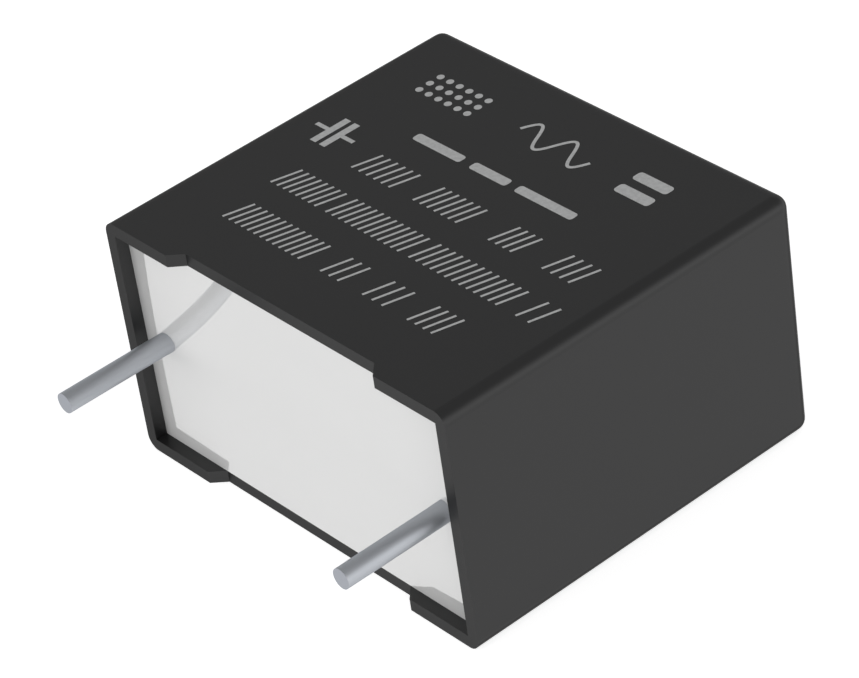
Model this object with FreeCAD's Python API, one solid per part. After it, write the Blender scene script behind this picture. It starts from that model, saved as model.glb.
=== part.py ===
# Box film capacitor, lying on its plain large face. Lengths are in millimetres.
# Origin: centre of the face that it rests on. +X runs along the case from the left lead
# to the right one, -Y is the way the leads point, and +Z goes up to the other large face.

import FreeCAD
import Part
import math
import os

# Case
case_length = 18.0          # X, the way the leads are spaced
case_height = 16.0          # Y, from the feet to the closed end
case_thickness = 10.0       # Z, between the two large faces
wall = 0.5
edge_radius = 0.5           # outer edges, apart from the open rim
floor_corner_radius = 0.4   # inside, where the walls meet the closed end

# Standoff feet: the rim is full height at both ends and lower between them
foot_height = 0.5
foot_reach = 3.5            # along X on the long walls, from the end face to the ramp
ramp_run = 0.5              # along X, so that the ramp is at 45 degrees

# Potting resin: dished, because it shrinks as it sets and clings to the walls
resin_dip = 0.53            # at the middle, below the low rim

# Leads
lead_pitch = 15.0
lead_diameter = 0.8
lead_free_length = 4.0      # straight, from the feet to the cut end
crank_length = 5.0          # along Y, of the slight double bend that follows
crank_offset = 0.3          # towards the winding
weld_length = 6.0           # straight stretch that lies on the end spray
weld_depth = 0.1            # how far the lead is pressed into the end spray

# Winding and the sprayed metal on its ends
winding_width = 12.4        # Y, of the pressed roll's oval section
winding_thickness = 7.6     # Z
winding_end_gap = 0.5       # resin between the winding and the case's closed end
spray_thickness = 0.5

# Places worked out from the sizes above
feet_y = -case_height / 2
rim_y = feet_y + foot_height
closed_inside_y = case_height / 2 - wall
mid_z = case_thickness / 2
lead_radius = lead_diameter / 2
lead_x = lead_pitch / 2
weld_x = lead_x - crank_offset
spray_outside_x = weld_x - lead_radius + weld_depth
spray_inside_x = spray_outside_x - spray_thickness
winding_y = closed_inside_y - winding_end_gap - winding_width / 2


def vec(x, y, z):
    return FreeCAD.Vector(x, y, z)


def block(low, high):
    """Box between two opposite corners."""
    size = high - low
    return Part.makeBox(size.x, size.y, size.z, low)


def rounded_outside():
    """Outer form of the case, with every edge rounded but those of the open rim."""
    half_length = case_length / 2
    body = block(vec(-half_length, feet_y, 0), vec(half_length, -feet_y, case_thickness))
    rounded = [e for e in body.Edges if e.BoundBox.YMax > feet_y + foot_height]
    return body.makeFillet(edge_radius, rounded)


def cavity():
    """Inside of the case: sharp where the walls meet, rounded at the closed end."""
    half_length = case_length / 2 - wall
    space = block(vec(-half_length, feet_y - wall, wall),
                  vec(half_length, closed_inside_y, case_thickness - wall))
    at_floor = [e for e in space.Edges if e.BoundBox.YMin > closed_inside_y - wall / 2]
    return space.makeFillet(floor_corner_radius, at_floor)


def rim_notch():
    """Cutter that lowers the long walls' rim between the feet, with a ramp at each end."""
    low_half = case_length / 2 - foot_reach - ramp_run
    past = foot_height     # how far the cutter goes on beyond the rim, at the same slope
    outer_half = low_half + ramp_run * (foot_height + past) / foot_height
    corners = [
        vec(-outer_half, feet_y - past, 0),
        vec(-low_half, rim_y, 0),
        vec(low_half, rim_y, 0),
        vec(outer_half, feet_y - past, 0),
    ]
    outline = Part.makePolygon(corners + corners[:1])
    return Part.Face(outline).extrude(vec(0, 0, case_thickness))


def make_case():
    return rounded_outside().cut(cavity()).cut(rim_notch())


def oval_slab(x_from, x_to):
    """Slice of the pressed roll's oval section, between two places along X."""
    radius = winding_thickness / 2
    centre_reach = winding_width / 2 - radius
    near_y = winding_y - centre_reach
    far_y = winding_y + centre_reach
    top, bottom = mid_z + radius, mid_z - radius
    edges = [
        Part.makeLine(vec(x_from, near_y, bottom), vec(x_from, far_y, bottom)),
        Part.Arc(vec(x_from, far_y, bottom), vec(x_from, far_y + radius, mid_z),
                 vec(x_from, far_y, top)).toShape(),
        Part.makeLine(vec(x_from, far_y, top), vec(x_from, near_y, top)),
        Part.Arc(vec(x_from, near_y, top), vec(x_from, near_y - radius, mid_z),
                 vec(x_from, near_y, bottom)).toShape(),
    ]
    return Part.Face(Part.Wire(edges)).extrude(vec(x_to - x_from, 0, 0))


def make_winding():
    return oval_slab(-spray_inside_x, spray_inside_x)


def make_lead(side):
    """Round wire: straight outside, a slight S-bend inwards, then along the end spray."""
    bend_radius = (crank_length ** 2 + crank_offset ** 2) / (4 * crank_offset)
    turn = 2 * math.atan2(crank_offset, crank_length)
    half_bend_y = bend_radius * math.sin(turn / 2)
    half_bend_x = side * bend_radius * (1 - math.cos(turn / 2))
    outer_x, inner_x = side * lead_x, side * weld_x
    tip = vec(outer_x, feet_y - lead_free_length, mid_z)
    bend_start = vec(outer_x, feet_y, mid_z)
    bend_middle = vec((outer_x + inner_x) / 2, feet_y + crank_length / 2, mid_z)
    bend_end = vec(inner_x, feet_y + crank_length, mid_z)
    end = bend_end + vec(0, weld_length, 0)
    first_arc = Part.Arc(bend_start, bend_start + vec(-half_bend_x, half_bend_y, 0), bend_middle)
    second_arc = Part.Arc(bend_middle, bend_end + vec(half_bend_x, -half_bend_y, 0), bend_end)
    path = Part.Wire([
        Part.makeLine(tip, bend_start),
        first_arc.toShape(),
        second_arc.toShape(),
        Part.makeLine(bend_end, end),
    ])
    section = Part.Wire([Part.makeCircle(lead_radius, tip, vec(0, 1, 0))])
    return path.makePipeShell([section], True, False)


def make_spray(side, lead):
    """Sprayed metal on one end of the winding, with the groove that the weld leaves."""
    inside, outside = side * spray_inside_x, side * spray_outside_x
    return oval_slab(min(inside, outside), max(inside, outside)).cut(lead)


def in_front_of_resin():
    """Cutter whose end meets the four walls at the low rim and is deepest at the middle."""
    half_length = case_length / 2 - wall
    surface = Part.BezierSurface()
    surface.increase(2, 2)
    for row, x in enumerate((-half_length, 0, half_length), start=1):
        for column, z in enumerate((wall, mid_z, case_thickness - wall), start=1):
            surface.setPole(row, column, vec(x, rim_y, z))
    surface.setPole(2, 2, vec(0, rim_y + 4 * resin_dip, mid_z))     # it goes a quarter as deep
    return surface.toShape().extrude(vec(0, -case_height / 2, 0))


def make_resin(held):
    """Resin from its dished face to the closed end, round everything that it holds."""
    return cavity().cut(in_front_of_resin()).cut(held)


def one_solid(shape):
    """The shape's single solid, without the seams that cutting leaves on flat faces."""
    return shape.removeSplitter().Solids[0]


lead_left = one_solid(make_lead(-1))
lead_right = one_solid(make_lead(1))
film_winding = make_winding()
end_spray_left = one_solid(make_spray(-1, lead_left))
end_spray_right = one_solid(make_spray(1, lead_right))
resin_fill = one_solid(
    make_resin([film_winding, end_spray_left, end_spray_right, lead_left, lead_right])
)

parts = {
    "case": one_solid(make_case()),
    "resin_fill": resin_fill,
    "film_winding": film_winding,
    "end_spray_left": end_spray_left,
    "end_spray_right": end_spray_right,
    "lead_left": lead_left,
    "lead_right": lead_right,
}

os.makedirs("parts", exist_ok=True)
for name, solid in parts.items():
    box = solid.BoundBox
    print(f"{name}: {solid.Volume:.2f} mm3, valid {solid.isValid()}, "
          f"X {box.XMin:.2f} {box.XMax:.2f}, Y {box.YMin:.2f} {box.YMax:.2f}, "
          f"Z {box.ZMin:.2f} {box.ZMax:.2f}")
    solid.exportStep(f"parts/{name}.step")
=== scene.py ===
import math

import bmesh
import bpy
from mathutils import Matrix, Vector


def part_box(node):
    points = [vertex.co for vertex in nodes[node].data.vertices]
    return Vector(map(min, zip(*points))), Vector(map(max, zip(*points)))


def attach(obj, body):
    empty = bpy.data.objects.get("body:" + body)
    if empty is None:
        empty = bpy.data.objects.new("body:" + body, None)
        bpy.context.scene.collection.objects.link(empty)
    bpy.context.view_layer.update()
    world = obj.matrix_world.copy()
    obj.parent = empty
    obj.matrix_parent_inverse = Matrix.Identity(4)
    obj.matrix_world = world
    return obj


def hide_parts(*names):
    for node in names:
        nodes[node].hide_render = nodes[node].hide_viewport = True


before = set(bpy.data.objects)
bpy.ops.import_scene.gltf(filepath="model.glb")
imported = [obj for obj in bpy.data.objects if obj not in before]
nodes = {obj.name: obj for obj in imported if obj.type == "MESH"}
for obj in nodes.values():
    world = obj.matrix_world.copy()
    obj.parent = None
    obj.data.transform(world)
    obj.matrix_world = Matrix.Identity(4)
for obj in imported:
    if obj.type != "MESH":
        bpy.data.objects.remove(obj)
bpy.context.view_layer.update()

mm = 0.001
scene = bpy.context.scene
print("frame loaded:", sorted(nodes))


# Small helpers for node trees and pieces

nodeSpacing = (190, 170)


def addNode(tree, kind, x, y, **settings):
    # x and y count columns and rows in the node editor
    node = tree.nodes.new(kind)
    node.location = (x * nodeSpacing[0], y * nodeSpacing[1])
    for name, value in settings.items():
        setattr(node, name, value)
    return node


def setInputs(node, values):
    for name, value in values.items():
        node.inputs[name].default_value = value
    return node


def newMaterial(name):
    material = bpy.data.materials.new(name)
    material.use_nodes = True
    tree = material.node_tree
    tree.nodes.clear()
    output = addNode(tree, "ShaderNodeOutputMaterial", 5, 0)
    shader = addNode(tree, "ShaderNodeBsdfPrincipled", 4, 0)
    tree.links.new(shader.outputs[0], output.inputs["Surface"])
    place = addNode(tree, "ShaderNodeTexCoord", -3, 0)
    return material, tree, shader, place.outputs["Object"]


def newPiece(name, mesh, material=None):
    piece = bpy.data.objects.new(name, mesh)
    scene.collection.objects.link(piece)
    if material:
        mesh.materials.clear()
        mesh.materials.append(material)
    return piece


def paintNode(name, material):
    mesh = nodes[name].data
    mesh.materials.clear()
    mesh.materials.append(material)


# Camera, solved from the straight edges of the photograph

cameraValues = {
    "azimuth": 53.497,          # degrees, where 0 looks along +Y
    "elevation": 35.514,
    "roll": -8.738,
    "distance": 141.669,        # mm, from the middle of the feet's plane
    "shiftRight": 4.245,        # mm, sideways from there
    "shiftUp": 7.209,
    "lens": 169.656,            # mm
    "sensorWidth": 36.0,
    "target": (0.0, -8.0, 0.0),
    "clip": (0.005, 20.0),      # m
}


def makeCamera(values):
    azimuth = math.radians(values["azimuth"])
    elevation = math.radians(values["elevation"])
    roll = math.radians(values["roll"])
    back = Vector((math.sin(azimuth) * math.cos(elevation),
                   -math.cos(azimuth) * math.cos(elevation),
                   math.sin(elevation)))
    level = Vector((math.cos(azimuth), math.sin(azimuth), 0.0))
    upright = back.cross(level)
    right = level * math.cos(roll) + upright * math.sin(roll)
    up = upright * math.cos(roll) - level * math.sin(roll)
    place = (Vector(values["target"]) + right * values["shiftRight"]
             + up * values["shiftUp"] + back * values["distance"]) * mm
    data = bpy.data.cameras.new("photo_camera")
    data.sensor_width = values["sensorWidth"]
    data.lens = values["lens"]
    data.clip_start, data.clip_end = values["clip"]
    camera = bpy.data.objects.new("photo_camera", data)
    scene.collection.objects.link(camera)
    turn = Matrix((right, up, back)).transposed().to_4x4()
    camera.matrix_world = Matrix.Translation(place) @ turn
    scene.camera = camera


makeCamera(cameraValues)
print("camera placed")


# Studio: pale floor, a grey room that is brighter low down, and soft lamps

studioValues = {
    "overheadBrightness": 0.39,
    "horizonBrightness": 1.02,
    "horizonTop": 0.50,             # sine of the angle above which the room is plain grey
    "floorColor": 0.82,
    "floorToCamera": 0.74,          # added to the lit floor, so that it is seen as white
    "mirroredFloorColor": 0.30,     # mirrored in the object, it shows less light and shadow
    "floorToMirrors": 0.81,         # added to that, near the object
    "farFloorToMirrors": 1.02,      # and far from it
    "nearFloorEnd": 0.03,           # m, from here on it grows brighter
    "farFloorStart": 0.12,          # m, as far as here
    "floorHalfSize": 3.0,           # m
    "mirroredLamps": ("key_lamp", "side_lamp"),
    "lamps": {                      # place (m), width and height (m), power (W)
        "key_lamp": ((0.490, -0.363, 0.436), (0.40, 0.40), 0.40),
        "front_lamp": ((-0.140, -0.680, 0.170), (0.45, 0.30), 0.90),
        "side_lamp": ((0.620, 0.356, 0.210), (0.60, 0.40), 0.40),
    },
}


def makeWorld(values):
    # the camera sees plain white, and the room lights the object
    world = bpy.data.worlds.new("studio_room")
    world.use_nodes = True
    scene.world = world
    tree = world.node_tree
    tree.nodes.clear()
    output = addNode(tree, "ShaderNodeOutputWorld", 4, 0)
    path = addNode(tree, "ShaderNodeLightPath", 2, 2)
    direction = addNode(tree, "ShaderNodeTexCoord", -1, -1)
    height = addNode(tree, "ShaderNodeSeparateXYZ", 0, -1)
    fade = addNode(tree, "ShaderNodeMapRange", 1, -1, interpolation_type="SMOOTHSTEP")
    setInputs(fade, {"From Min": 0.0, "From Max": values["horizonTop"],
                     "To Min": values["horizonBrightness"],
                     "To Max": values["overheadBrightness"]})
    room = addNode(tree, "ShaderNodeBackground", 2, -1)
    white = addNode(tree, "ShaderNodeBackground", 2, -2)
    mix = addNode(tree, "ShaderNodeMixShader", 3, 0)
    for background in (room, white):
        setInputs(background, {"Color": (1.0, 1.0, 1.0, 1.0), "Strength": 1.0})
    tree.links.new(direction.outputs["Generated"], height.inputs[0])
    tree.links.new(height.outputs["Z"], fade.inputs["Value"])
    tree.links.new(fade.outputs[0], room.inputs["Strength"])
    tree.links.new(path.outputs["Is Camera Ray"], mix.inputs[0])
    tree.links.new(room.outputs[0], mix.inputs[1])
    tree.links.new(white.outputs[0], mix.inputs[2])
    tree.links.new(mix.outputs[0], output.inputs["Surface"])


def makeFloor(values):
    # the camera and the object's mirrors see the floor brighter than it is lit
    half = values["floorHalfSize"]
    corners = [(-half, -half, 0), (half, -half, 0), (half, half, 0), (-half, half, 0)]
    mesh = bpy.data.meshes.new("studio_floor")
    mesh.from_pydata(corners, [], [(0, 1, 2, 3)])
    material = bpy.data.materials.new("pale_floor")
    material.use_nodes = True
    tree = material.node_tree
    tree.nodes.clear()
    output = addNode(tree, "ShaderNodeOutputMaterial", 4, 0)
    path = addNode(tree, "ShaderNodeLightPath", 0, 0)
    place = addNode(tree, "ShaderNodeTexCoord", -2, -2)
    away = addNode(tree, "ShaderNodeVectorMath", -1, -2, operation="LENGTH")
    fade = addNode(tree, "ShaderNodeMapRange", 0, -2, interpolation_type="SMOOTHSTEP")
    setInputs(fade, {"From Min": values["nearFloorEnd"],
                     "From Max": values["farFloorStart"],
                     "To Min": values["floorToMirrors"],
                     "To Max": values["farFloorToMirrors"]})
    mirrored = addNode(tree, "ShaderNodeMath", 1, -1, operation="MULTIPLY")
    strength = addNode(tree, "ShaderNodeMath", 2, 0, operation="MULTIPLY_ADD")
    strength.inputs[1].default_value = values["floorToCamera"]
    shade = addNode(tree, "ShaderNodeMath", 1, 1, operation="MULTIPLY_ADD")
    shade.inputs[1].default_value = values["mirroredFloorColor"] - values["floorColor"]
    shade.inputs[2].default_value = values["floorColor"]
    paint = addNode(tree, "ShaderNodeBsdfDiffuse", 2, 1)
    glow = addNode(tree, "ShaderNodeEmission", 3, 0)
    both = addNode(tree, "ShaderNodeAddShader", 3, 1)
    tree.links.new(place.outputs["Object"], away.inputs[0])
    tree.links.new(away.outputs["Value"], fade.inputs["Value"])
    tree.links.new(path.outputs["Is Glossy Ray"], mirrored.inputs[0])
    tree.links.new(fade.outputs[0], mirrored.inputs[1])
    tree.links.new(path.outputs["Is Glossy Ray"], shade.inputs[0])
    tree.links.new(shade.outputs[0], paint.inputs["Color"])
    tree.links.new(path.outputs["Is Camera Ray"], strength.inputs[0])
    tree.links.new(mirrored.outputs[0], strength.inputs[2])
    tree.links.new(strength.outputs[0], glow.inputs["Strength"])
    tree.links.new(paint.outputs[0], both.inputs[0])
    tree.links.new(glow.outputs[0], both.inputs[1])
    tree.links.new(both.outputs[0], output.inputs["Surface"])
    newPiece("studio_floor", mesh, material)


def makeLamps(values):
    for name, (place, (width, height), power) in values["lamps"].items():
        data = bpy.data.lights.new(name, "AREA")
        data.shape = "RECTANGLE"
        data.size = width
        data.size_y = height
        data.energy = power
        lamp = bpy.data.objects.new(name, data)
        scene.collection.objects.link(lamp)
        lamp.location = place
        lamp.rotation_euler = Vector(place).to_track_quat("Z", "Y").to_euler()
        lamp.visible_camera = False
        lamp.visible_glossy = name in values["mirroredLamps"]


makeWorld(studioValues)
makeFloor(studioValues)
makeLamps(studioValues)
scene.view_settings.view_transform = "Standard"
print("studio made")


# Shader groups shared by several materials

def makeGroup(name, inputs, outputs):
    group = bpy.data.node_groups.new(name, "ShaderNodeTree")
    for label, kind in inputs:
        group.interface.new_socket(label, in_out="INPUT", socket_type=kind)
    for label, kind in outputs:
        group.interface.new_socket(label, in_out="OUTPUT", socket_type=kind)
    into = addNode(group, "NodeGroupInput", -2, 0)
    out = addNode(group, "NodeGroupOutput", 5, 0)
    return group, into.outputs, out.inputs


def spread(tree, noise, amount, centre, x, y):
    # centre + (noise - 0.5) * amount, where centre is a number or a socket
    swing = addNode(tree, "ShaderNodeMath", x, y, operation="MULTIPLY_ADD")
    half = addNode(tree, "ShaderNodeMath", x - 1, y, operation="SUBTRACT")
    half.inputs[1].default_value = 0.5
    tree.links.new(noise, half.inputs[0])
    tree.links.new(half.outputs[0], swing.inputs[0])
    tree.links.new(amount, swing.inputs[1])
    if isinstance(centre, float):
        swing.inputs[2].default_value = centre
    else:
        tree.links.new(centre, swing.inputs[2])
    return swing.outputs[0]


noiseValues = {
    "grain": {"Detail": 3.0, "Roughness": 0.6},
    "cloud": {"Detail": 4.0, "Roughness": 0.55},
}


def makeGrainGroup(values):
    # fine grain for roughness and height, and larger clouds for the colour
    group, into, out = makeGroup(
        "fineGrain",
        [("Position", "NodeSocketVector"), ("Grains Per Metre", "NodeSocketFloat"),
         ("Clouds Per Metre", "NodeSocketFloat"),
         ("Colour", "NodeSocketColor"), ("Colour Spread", "NodeSocketFloat"),
         ("Roughness", "NodeSocketFloat"), ("Roughness Spread", "NodeSocketFloat")],
        [("Colour", "NodeSocketColor"), ("Roughness", "NodeSocketFloat"),
         ("Height", "NodeSocketFloat")])
    grain = addNode(group, "ShaderNodeTexNoise", 0, 1)
    setInputs(grain, values["grain"])
    cloud = addNode(group, "ShaderNodeTexNoise", 0, -1)
    setInputs(cloud, values["cloud"])
    for noise, scale in ((grain, "Grains Per Metre"), (cloud, "Clouds Per Metre")):
        group.links.new(into["Position"], noise.inputs["Vector"])
        group.links.new(into[scale], noise.inputs["Scale"])
    gain = spread(group, cloud.outputs["Fac"], into["Colour Spread"], 1.0, 2, -1)
    shade = addNode(group, "ShaderNodeVectorMath", 3, -1, operation="SCALE")
    group.links.new(into["Colour"], shade.inputs[0])
    group.links.new(gain, shade.inputs["Scale"])
    group.links.new(shade.outputs[0], out["Colour"])
    rough = spread(group, grain.outputs["Fac"], into["Roughness Spread"],
                   into["Roughness"], 2, 1)
    group.links.new(rough, out["Roughness"])
    group.links.new(grain.outputs["Fac"], out["Height"])
    return group


grainGroup = makeGrainGroup(noiseValues)


def addGrain(tree, shader, position, values):
    grain = addNode(tree, "ShaderNodeGroup", 0, 0, node_tree=grainGroup)
    setInputs(grain, {
        "Grains Per Metre": values["grainsPerMetre"],
        "Clouds Per Metre": values["cloudsPerMetre"],
        "Colour": (*values["color"], 1.0),
        "Colour Spread": values["colorSpread"],
        "Roughness": values["roughness"],
        "Roughness Spread": values["roughnessSpread"],
    })
    tree.links.new(position, grain.inputs["Position"])
    tree.links.new(grain.outputs["Colour"], shader.inputs["Base Color"])
    tree.links.new(grain.outputs["Roughness"], shader.inputs["Roughness"])
    if values["grainDepth"]:
        bump = addNode(tree, "ShaderNodeBump", 2, -1)
        setInputs(bump, {"Strength": 1.0, "Distance": values["grainDepth"]})
        tree.links.new(grain.outputs["Height"], bump.inputs["Height"])
        tree.links.new(bump.outputs[0], shader.inputs["Normal"])
    return grain


print("shader groups made")


# Materials

# pairs: how far the surface is turned away, from 0 to 1 edge on, and its gloss there
glossByAngle = (
    (0.0, 0.60), (0.20, 0.59), (0.29, 0.53), (0.35, 0.49),
    (0.42, 0.45), (0.52, 0.24), (0.64, 0.06), (1.0, 0.06),
)
plasticValues = {
    "color": (0.0120, 0.0121, 0.0124),
    "colorSpread": 0.10,
    "roughness": 0.36,
    "roughnessSpread": 0.10,
    "ior": 1.48,
    "grainsPerMetre": 14000.0,
    "cloudsPerMetre": 420.0,
    "grainDepth": 0.0000012,
    "glossByAngle": glossByAngle,
}
inkValues = {
    "color": (0.595, 0.600, 0.600),
    "colorSpread": 0.50,
    "roughness": 0.55,
    "roughnessSpread": 0.12,
    "ior": 1.45,
    "grainsPerMetre": 14000.0,
    "cloudsPerMetre": 6000.0,
    "grainDepth": 0.0000015,
    "glossByAngle": glossByAngle,
}
resinValues = {
    "color": (0.905, 0.905, 0.900),
    "colorSpread": 0.03,
    "roughness": 0.03,
    "roughnessSpread": 0.012,
    "ior": 3.20,                # high, for a very shiny face
    "grainsPerMetre": 2500.0,
    "cloudsPerMetre": 260.0,
    "grainDepth": 0.0,          # mirror smooth
    "paintedShadeStart": 5.0,       # mm from the middle, where the painted shade towards the side walls starts
    # painted shade: the colour is scaled by this at the side walls
    "paintedSideShade": 0.94,
    # painted shade and painted light: the colour is scaled by these at the bottom and at
    # the top
    "paintedBottomShade": 0.98,
    "paintedTopLight": 1.02,
}
wireValues = {
    "color": (0.552, 0.574, 0.611),
    "colorSpread": 0.10,
    "roughness": 0.50,
    "roughnessSpread": 0.10,
    "edgeColor": (0.55, 0.56, 0.58),
    "grainsPerMetre": 9000.0,
    "cloudsPerMetre": 3600.0,
    "patternScale": (1.0, 0.03, 1.0),       # drawn out along Y
    "grainDepth": 0.0000012,
    "cutColor": (0.500, 0.520, 0.563),
    "cutReach": 0.004,          # mm, how near to the tip's plane it counts as cut
}
sprayValues = {
    "color": (0.42, 0.42, 0.43),
    "colorSpread": 0.30,
    "roughness": 0.62,
    "roughnessSpread": 0.20,
    "grainsPerMetre": 7000.0,
    "cloudsPerMetre": 1500.0,
    "grainDepth": 0.00006,
}
filmValues = {
    "color": (0.52, 0.53, 0.55),
    "colorSpread": 0.08,
    "roughness": 0.22,
    "roughnessSpread": 0.10,
    "edgeColor": (0.75, 0.75, 0.76),
    "grainsPerMetre": 900.0,
    "cloudsPerMetre": 360.0,
    "patternScale": (0.08, 1.0, 1.0),       # drawn out along X
    "grainDepth": 0.00002,
}


def makePlastic(name, values):
    # a satin skin loses its gloss where it is seen at a low angle; at a blend of 0.5,
    # Facing is one less the cosine of the angle
    material, tree, shader, position = newMaterial(name)
    addGrain(tree, shader, position, values)
    shader.inputs["IOR"].default_value = values["ior"]
    facing = addNode(tree, "ShaderNodeLayerWeight", 2, 2)
    facing.inputs["Blend"].default_value = 0.5
    fade = addNode(tree, "ShaderNodeFloatCurve", 3, 2)
    points = fade.mapping.curves[0].points
    places = values["glossByAngle"]
    points[0].location = places[0]
    points[1].location = places[-1]
    for place in places[1:-1]:
        points.new(*place)
    for point in points:
        point.handle_type = "AUTO_CLAMPED"
    fade.mapping.update()
    tree.links.new(facing.outputs["Facing"], fade.inputs["Value"])
    tree.links.new(fade.outputs[0], shader.inputs["Specular IOR Level"])
    return material


def makeResinMaterial(name, values):
    # its paleness changes a little across the face; painted shade darkens it towards the
    # side walls and towards the bottom, and painted light brightens it towards the top
    material, tree, shader, position = newMaterial(name)
    grain = addGrain(tree, shader, position, values)
    shader.inputs["IOR"].default_value = values["ior"]
    low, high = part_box("resin_fill")
    place = addNode(tree, "ShaderNodeSeparateXYZ", -1, 3)
    aside = addNode(tree, "ShaderNodeMath", 0, 3, operation="ABSOLUTE")
    # painted shade: the colour grows darker towards the side walls
    sides = addNode(tree, "ShaderNodeMapRange", 1, 3, interpolation_type="SMOOTHSTEP")
    setInputs(sides, {"From Min": values["paintedShadeStart"] * mm, "From Max": high.x,
                      "To Min": 1.0, "To Max": values["paintedSideShade"]})
    # painted light: the colour is darker towards the bottom and lighter towards the top
    rise = addNode(tree, "ShaderNodeMapRange", 1, 2)
    setInputs(rise, {"From Min": low.z, "From Max": high.z,
                     "To Min": values["paintedBottomShade"], "To Max": values["paintedTopLight"]})
    gain = addNode(tree, "ShaderNodeMath", 2, 2, operation="MULTIPLY")
    shade = addNode(tree, "ShaderNodeVectorMath", 3, 1, operation="SCALE")
    tree.links.new(position, place.inputs[0])
    tree.links.new(place.outputs["X"], aside.inputs[0])
    tree.links.new(aside.outputs[0], sides.inputs["Value"])
    tree.links.new(place.outputs["Z"], rise.inputs["Value"])
    tree.links.new(sides.outputs[0], gain.inputs[0])
    tree.links.new(rise.outputs[0], gain.inputs[1])
    tree.links.new(grain.outputs["Colour"], shade.inputs[0])
    tree.links.new(gain.outputs[0], shade.inputs["Scale"])
    tree.links.new(shade.outputs[0], shader.inputs["Base Color"])
    return material


def addDrawnMetal(tree, shader, position, values):
    # metal whose fine pattern is drawn out along one axis of the object
    shader.inputs["Metallic"].default_value = 1.0
    shader.inputs["Specular Tint"].default_value = (*values["edgeColor"], 1.0)
    mapping = addNode(tree, "ShaderNodeMapping", -2, 0)
    mapping.inputs["Scale"].default_value = values["patternScale"]
    tree.links.new(position, mapping.inputs["Vector"])
    return addGrain(tree, shader, mapping.outputs[0], values)


def makeWire(name, values):
    # the round skin and the flat cut at the tip have colours of their own
    material, tree, shader, position = newMaterial(name)
    grain = addDrawnMetal(tree, shader, position, values)
    along = addNode(tree, "ShaderNodeSeparateXYZ", 0, 2)
    atEnd = addNode(tree, "ShaderNodeMath", 1, 2, operation="COMPARE")
    atEnd.inputs[1].default_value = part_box("lead_left")[0].y
    atEnd.inputs[2].default_value = values["cutReach"] * mm
    cut = addNode(tree, "ShaderNodeMix", 3, 1, data_type="RGBA")
    tree.links.new(position, along.inputs[0])
    tree.links.new(along.outputs["Y"], atEnd.inputs[0])
    # the node's sockets for colours: Factor, A, B and Result
    share, skinColor, cutColor = (cut.inputs[k] for k in (0, 6, 7))
    mixedColor = cut.outputs[2]
    cutColor.default_value = (*values["cutColor"], 1.0)
    tree.links.new(atEnd.outputs[0], share)
    tree.links.new(grain.outputs["Colour"], skinColor)
    tree.links.new(mixedColor, shader.inputs["Base Color"])
    return material


def makeFilm(name, values):
    material, tree, shader, position = newMaterial(name)
    addDrawnMetal(tree, shader, position, values)
    return material


def makeSprayMaterial(name, values):
    material, tree, shader, position = newMaterial(name)
    shader.inputs["Metallic"].default_value = 1.0
    addGrain(tree, shader, position, values)
    return material


casePlastic = makePlastic("case_plastic", plasticValues)
printInk = makePlastic("print_ink", inkValues)
pottingResin = makeResinMaterial("potting_resin", resinValues)
tinnedWire = makeWire("tinned_wire", wireValues)
metallisedFilm = makeFilm("metallised_film", filmValues)
sprayedMetal = makeSprayMaterial("sprayed_metal", sprayValues)

paintNode("case", casePlastic)
paintNode("lead_left", tinnedWire)
paintNode("lead_right", tinnedWire)
paintNode("film_winding", metallisedFilm)
paintNode("end_spray_left", sprayedMetal)
paintNode("end_spray_right", sprayedMetal)
print("materials made")


# Resin: the solid's own form, with a face fine enough to mirror the feet and leads cleanly

resinBodyValues = {
    "dip": 0.53,                # mm, at the middle of the face
    "stepsAcross": 120,
    "stepsUp": 66,
    "cornerRadius": 0.4,        # mm, at the closed end
    "cornerSteps": 4,
    "mergeDistance": 0.0001,    # mm
}


def makeResinBody(values):
    # a dished grid, its rim carried back along the walls and closed behind
    low, high = (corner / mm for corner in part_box("resin_fill"))
    middle = (low + high) / 2
    half = (high - low) / 2
    across, up = values["stepsAcross"], values["stepsUp"]
    bm = bmesh.new()
    grid = []
    for i in range(across + 1):
        u = 2 * i / across - 1
        column = []
        for j in range(up + 1):
            v = 2 * j / up - 1
            depth = values["dip"] * (1 - u * u) * (1 - v * v)
            place = (middle.x + u * half.x, low.y + depth, middle.z + v * half.z)
            column.append(bm.verts.new(place))
        grid.append(column)
    for i in range(across):
        for j in range(up):
            corners = (grid[i][j], grid[i + 1][j], grid[i + 1][j + 1], grid[i][j + 1])
            bm.faces.new(corners).smooth = True
    rim = ([grid[i][0] for i in range(across)]
           + [grid[across][j] for j in range(up)]
           + [grid[i][up] for i in range(across, 0, -1)]
           + [grid[0][j] for j in range(up, 0, -1)])
    radius, steps = values["cornerRadius"], values["cornerSteps"]
    rings = [(0.0, high.y - radius)]
    for k in range(1, steps + 1):
        angle = math.pi / 2 * k / steps
        rings.append((radius * (1 - math.cos(angle)),
                      high.y - radius + radius * math.sin(angle)))
    last = rim
    for inset, y in rings:
        ring = []
        for vert in rim:
            x = max(low.x + inset, min(high.x - inset, vert.co.x))
            z = max(low.z + inset, min(high.z - inset, vert.co.z))
            ring.append(bm.verts.new((x, y, z)))
        count = len(ring)
        for k in range(count):
            bm.faces.new((last[k], ring[k], ring[(k + 1) % count], last[(k + 1) % count]))
        last = ring
    bm.faces.new(last)
    for k in range(len(rim)):
        bm.edges.get((rim[k], rim[(k + 1) % len(rim)])).smooth = False
    bmesh.ops.remove_doubles(bm, verts=bm.verts, dist=values["mergeDistance"])
    bmesh.ops.recalc_face_normals(bm, faces=bm.faces)
    bmesh.ops.scale(bm, vec=(mm, mm, mm), verts=bm.verts)
    mesh = bpy.data.meshes.new("resin_body")
    bm.to_mesh(mesh)
    bm.free()
    return mesh


resinBody = newPiece("resin_body", makeResinBody(resinBodyValues), pottingResin)
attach(resinBody, "root")
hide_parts("resin_fill")
print("resin made")


# Print on the upper face: plain bars, ticks, dots and circuit symbols, all in mm

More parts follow.
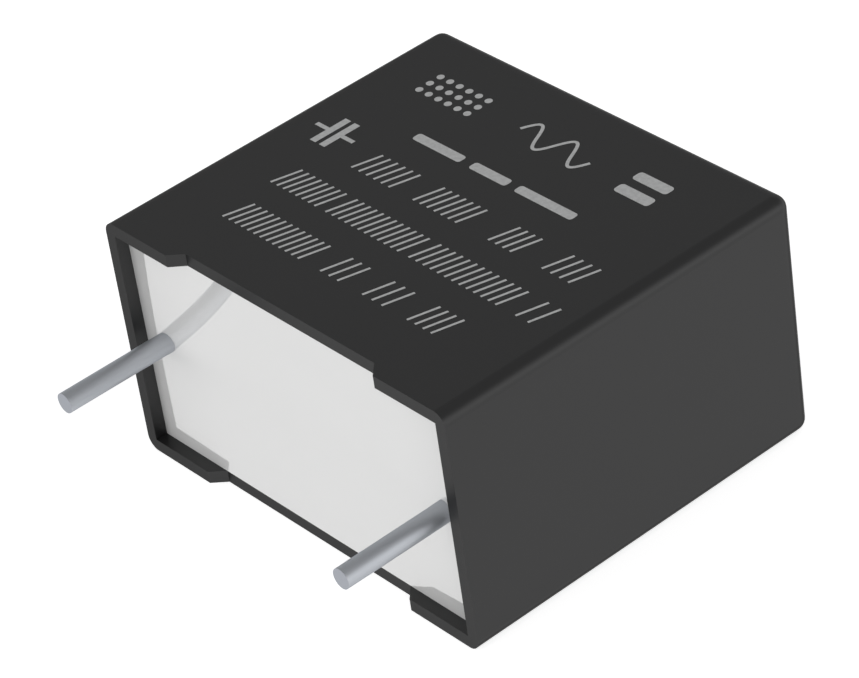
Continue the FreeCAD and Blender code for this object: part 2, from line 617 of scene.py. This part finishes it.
printValues = {
    "inkDepth": 0.020,          # most of it below the surface
    "inkProud": 0.006,
    "lineWidth": 0.13,
    "boldWidth": 0.30,
}
wordValues = {
    "tickPitch": 0.34,
    "tickWidth": 0.10,
    "rowHeight": 1.20,
    "slant": 16.0,              # degrees
    "rows": {                   # Y of the middle of each row, and its words along X
        0.25: ((-4.3, -2.3), (-1.0, 1.2), (2.9, 4.0), (5.6, 6.9)),
        -2.15: ((-5.9, -3.5), (-2.9, 0.9), (1.5, 5.9), (6.9, 7.5)),
        -4.60: ((-5.6, -1.5), (-0.3, 0.6), (1.9, 2.9), (4.2, 5.4)),
    },
}
barValues = {
    "bars": (                   # X and Y of the centre, length and height
        (-2.9, 2.42, 2.5, 0.42), (-0.2, 2.42, 1.9, 0.42), (2.65, 2.42, 2.9, 0.42),
        (4.75, 5.55, 1.7, 0.50), (4.75, 4.65, 1.7, 0.50),
    ),
    "cornerShare": 0.3,         # corner radius as a share of the height
    "cornerSteps": 6,
}
dotValues = {
    "columns": 6,
    "rows": 3,
    "pitch": 0.52,
    "radius": 0.15,
    "dotSides": 24,
    "centre": (-5.05, 5.05),
}
waveValues = {                  # the sign for alternating current
    "from": -1.5,
    "to": 2.1,
    "middle": 5.05,
    "height": 0.62,
    "waves": 2,
    "steps": 96,
}
symbolValues = {                # the circuit sign for a capacitor
    "centre": (-6.65, 0.75),
    "plateHeight": 1.70,
    "plateGap": 0.50,
    "leadLength": 0.62,
    "leadWidth": 0.182,
}


def inkLevels(values):
    # heights of the ink's under and upper side
    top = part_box("case")[1].z / mm + values["inkProud"]
    return top - values["inkDepth"], top


def setTreeSockets(group, inputs):
    newSocket = group.interface.new_socket
    newSocket("Geometry", in_out="INPUT", socket_type="NodeSocketGeometry")
    for label, kind in inputs:
        newSocket(label, in_out="INPUT", socket_type=kind)
    newSocket("Geometry", in_out="OUTPUT", socket_type="NodeSocketGeometry")
    into = addNode(group, "NodeGroupInput", -2, 0)
    out = addNode(group, "NodeGroupOutput", 5, 0)
    return into.outputs, out.inputs


def finishTree(group, instances, material, out):
    # instances are made real and inked
    real = addNode(group, "GeometryNodeRealizeInstances", 3, 0)
    ink = addNode(group, "GeometryNodeSetMaterial", 4, 0)
    group.links.new(instances, real.inputs[0])
    group.links.new(real.outputs[0], ink.inputs["Geometry"])
    group.links.new(material, ink.inputs["Material"])
    group.links.new(ink.outputs[0], out["Geometry"])


def makeTickTree():
    # evenly spaced slanted ticks along every edge of the mesh
    group = bpy.data.node_groups.new("tickedWords", "GeometryNodeTree")
    into, out = setTreeSockets(group, [
        ("Tick Pitch", "NodeSocketFloat"), ("Tick Width", "NodeSocketFloat"),
        ("Row Height", "NodeSocketFloat"), ("Slant", "NodeSocketFloat"),
        ("Ink Depth", "NodeSocketFloat"), ("Ink", "NodeSocketMaterial")])
    curve = addNode(group, "GeometryNodeMeshToCurve", -1, 0)
    evenly = addNode(group, "GeometryNodeResampleCurve", 0, 0, mode="LENGTH")
    size = addNode(group, "ShaderNodeCombineXYZ", -1, -1)
    tick = addNode(group, "GeometryNodeMeshCube", 0, -1)
    lean = addNode(group, "ShaderNodeCombineXYZ", -1, -2)
    turn = addNode(group, "FunctionNodeEulerToRotation", 0, -2)
    ticks = addNode(group, "GeometryNodeInstanceOnPoints", 2, 0)
    link = group.links.new
    link(into["Geometry"], curve.inputs["Mesh"])
    link(curve.outputs[0], evenly.inputs["Curve"])
    link(into["Tick Pitch"], evenly.inputs["Length"])
    link(into["Tick Width"], size.inputs[0])
    link(into["Row Height"], size.inputs[1])
    link(into["Ink Depth"], size.inputs[2])
    link(size.outputs[0], tick.inputs["Size"])
    link(into["Slant"], lean.inputs[2])
    link(lean.outputs[0], turn.inputs[0])
    link(evenly.outputs[0], ticks.inputs["Points"])
    link(tick.outputs["Mesh"], ticks.inputs["Instance"])
    link(turn.outputs[0], ticks.inputs["Rotation"])
    finishTree(group, ticks.outputs[0], into["Ink"], out)
    return group


def makeDotTree():
    # a block of round dots in rows and columns
    group = bpy.data.node_groups.new("dotBlock", "GeometryNodeTree")
    into, out = setTreeSockets(group, [
        ("Columns", "NodeSocketInt"), ("Rows", "NodeSocketInt"),
        ("Block Width", "NodeSocketFloat"), ("Block Height", "NodeSocketFloat"),
        ("Dot Radius", "NodeSocketFloat"), ("Dot Sides", "NodeSocketInt"),
        ("Ink Depth", "NodeSocketFloat"), ("Centre", "NodeSocketVector"),
        ("Ink", "NodeSocketMaterial")])
    block = addNode(group, "GeometryNodeMeshGrid", -1, 0)
    dot = addNode(group, "GeometryNodeMeshCylinder", 0, -1)
    dots = addNode(group, "GeometryNodeInstanceOnPoints", 1, 0)
    place = addNode(group, "GeometryNodeTransform", 2, 0)
    link = group.links.new
    link(into["Block Width"], block.inputs["Size X"])
    link(into["Block Height"], block.inputs["Size Y"])
    link(into["Columns"], block.inputs["Vertices X"])
    link(into["Rows"], block.inputs["Vertices Y"])
    link(into["Dot Radius"], dot.inputs["Radius"])
    link(into["Dot Sides"], dot.inputs["Vertices"])
    link(into["Ink Depth"], dot.inputs["Depth"])
    link(block.outputs["Mesh"], dots.inputs["Points"])
    link(dot.outputs["Mesh"], dots.inputs["Instance"])
    link(dots.outputs[0], place.inputs["Geometry"])
    link(into["Centre"], place.inputs["Translation"])
    finishTree(group, place.outputs[0], into["Ink"], out)
    return group


def growPiece(name, mesh, group, inputs):
    # runs the tree on the mesh and keeps the result as a plain mesh
    piece = newPiece(name, mesh)
    modifier = piece.modifiers.new("grow", "NODES")
    modifier.node_group = group
    for item in group.interface.items_tree:
        if item.in_out == "INPUT" and item.name in inputs:
            modifier[item.identifier] = inputs[item.name]
    bpy.context.view_layer.update()
    grown = piece.evaluated_get(bpy.context.evaluated_depsgraph_get())
    result = bpy.data.meshes.new_from_object(grown)
    piece.modifiers.clear()
    piece.data = result
    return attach(piece, "root")


def makeWords(values, ink):
    # one edge for each word
    middle = sum(inkLevels(ink)) / 2
    verts, edges = [], []
    for y, words in values["rows"].items():
        for start, end in words:
            edges.append((len(verts), len(verts) + 1))
            verts += [(start * mm, y * mm, middle * mm), (end * mm, y * mm, middle * mm)]
    mesh = bpy.data.meshes.new("print_words")
    mesh.from_pydata(verts, edges, [])
    slant = math.radians(values["slant"])
    return growPiece("print_words", mesh, makeTickTree(), {
        "Tick Pitch": values["tickPitch"] * mm,
        "Tick Width": values["tickWidth"] * mm,
        "Row Height": values["rowHeight"] * mm / math.cos(slant),
        "Slant": -slant,
        "Ink Depth": ink["inkDepth"] * mm,
        "Ink": printInk,
    })


def makeDots(values, ink):
    middle = sum(inkLevels(ink)) / 2
    return growPiece("print_dots", bpy.data.meshes.new("print_dots"), makeDotTree(), {
        "Columns": values["columns"],
        "Rows": values["rows"],
        "Block Width": (values["columns"] - 1) * values["pitch"] * mm,
        "Block Height": (values["rows"] - 1) * values["pitch"] * mm,
        "Dot Radius": values["radius"] * mm,
        "Dot Sides": values["dotSides"],
        "Ink Depth": ink["inkDepth"] * mm,
        "Centre": Vector((*values["centre"], middle)) * mm,
        "Ink": printInk,
    })


def addRibbon(bm, points, width, bottom, top):
    # flat line of even width through points, with square ends
    sides = []
    for k, point in enumerate(points):
        before, after = points[max(k - 1, 0)], points[min(k + 1, len(points) - 1)]
        along = (after - before).normalized()
        across = Vector((-along.y, along.x)) * width / 2
        corners = [(*(point - across), bottom), (*(point + across), bottom),
                   (*(point + across), top), (*(point - across), top)]
        sides.append([bm.verts.new(c) for c in corners])
    for one, two in zip(sides, sides[1:]):
        for k in range(4):
            bm.faces.new((one[k], one[(k + 1) % 4], two[(k + 1) % 4], two[k]))
    bm.faces.new(sides[0])
    bm.faces.new(sides[-1])


def addBar(bm, bar, values, bottom, top):
    # bar with round corners
    x, y, length, height = bar
    radius = height * values["cornerShare"]
    steps = values["cornerSteps"]
    outline = []
    for quarter in range(4):
        cx = x + (length / 2 - radius) * (1 if quarter in (0, 3) else -1)
        cy = y + (height / 2 - radius) * (1 if quarter in (0, 1) else -1)
        for k in range(steps + 1):
            angle = math.pi / 2 * (quarter + k / steps)
            outline.append((cx + radius * math.cos(angle), cy + radius * math.sin(angle)))
    lower = [bm.verts.new((*p, bottom)) for p in outline]
    upper = [bm.verts.new((*p, top)) for p in outline]
    bm.faces.new(lower)
    bm.faces.new(upper)
    for k in range(len(outline)):
        after = (k + 1) % len(outline)
        bm.faces.new((lower[k], lower[after], upper[after], upper[k]))


def addWave(bm, values, ink, bottom, top):
    points = []
    for k in range(values["steps"] + 1):
        share = k / values["steps"]
        x = values["from"] + (values["to"] - values["from"]) * share
        rise = values["height"] * math.sin(2 * math.pi * values["waves"] * share)
        points.append(Vector((x, values["middle"] + rise)))
    addRibbon(bm, points, ink["lineWidth"], bottom, top)


def addSymbol(bm, values, ink, bottom, top):
    # two plates, each with a lead that points away from the other
    x, y = values["centre"]
    reach = values["plateHeight"] / 2
    for side in (-1, 1):
        plate = x + side * values["plateGap"] / 2
        inner = plate + side * ink["boldWidth"] / 2
        outer = inner + side * values["leadLength"]
        addRibbon(bm, [Vector((plate, y - reach)), Vector((plate, y + reach))],
                  ink["boldWidth"], bottom, top)
        addRibbon(bm, [Vector((inner, y)), Vector((outer, y))],
                  values["leadWidth"], bottom, top)


def makeShapes(bars, wave, symbol, ink):
    bottom, top = inkLevels(ink)
    bm = bmesh.new()
    for bar in bars["bars"]:
        addBar(bm, bar, bars, bottom, top)
    addWave(bm, wave, ink, bottom, top)
    addSymbol(bm, symbol, ink, bottom, top)
    bmesh.ops.recalc_face_normals(bm, faces=bm.faces)
    bmesh.ops.scale(bm, vec=(mm, mm, mm), verts=bm.verts)
    mesh = bpy.data.meshes.new("print_shapes")
    bm.to_mesh(mesh)
    bm.free()
    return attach(newPiece("print_shapes", mesh, printInk), "root")


makeWords(wordValues, printValues)
makeDots(dotValues, printValues)
makeShapes(barValues, waveValues, symbolValues, printValues)
print("print made")
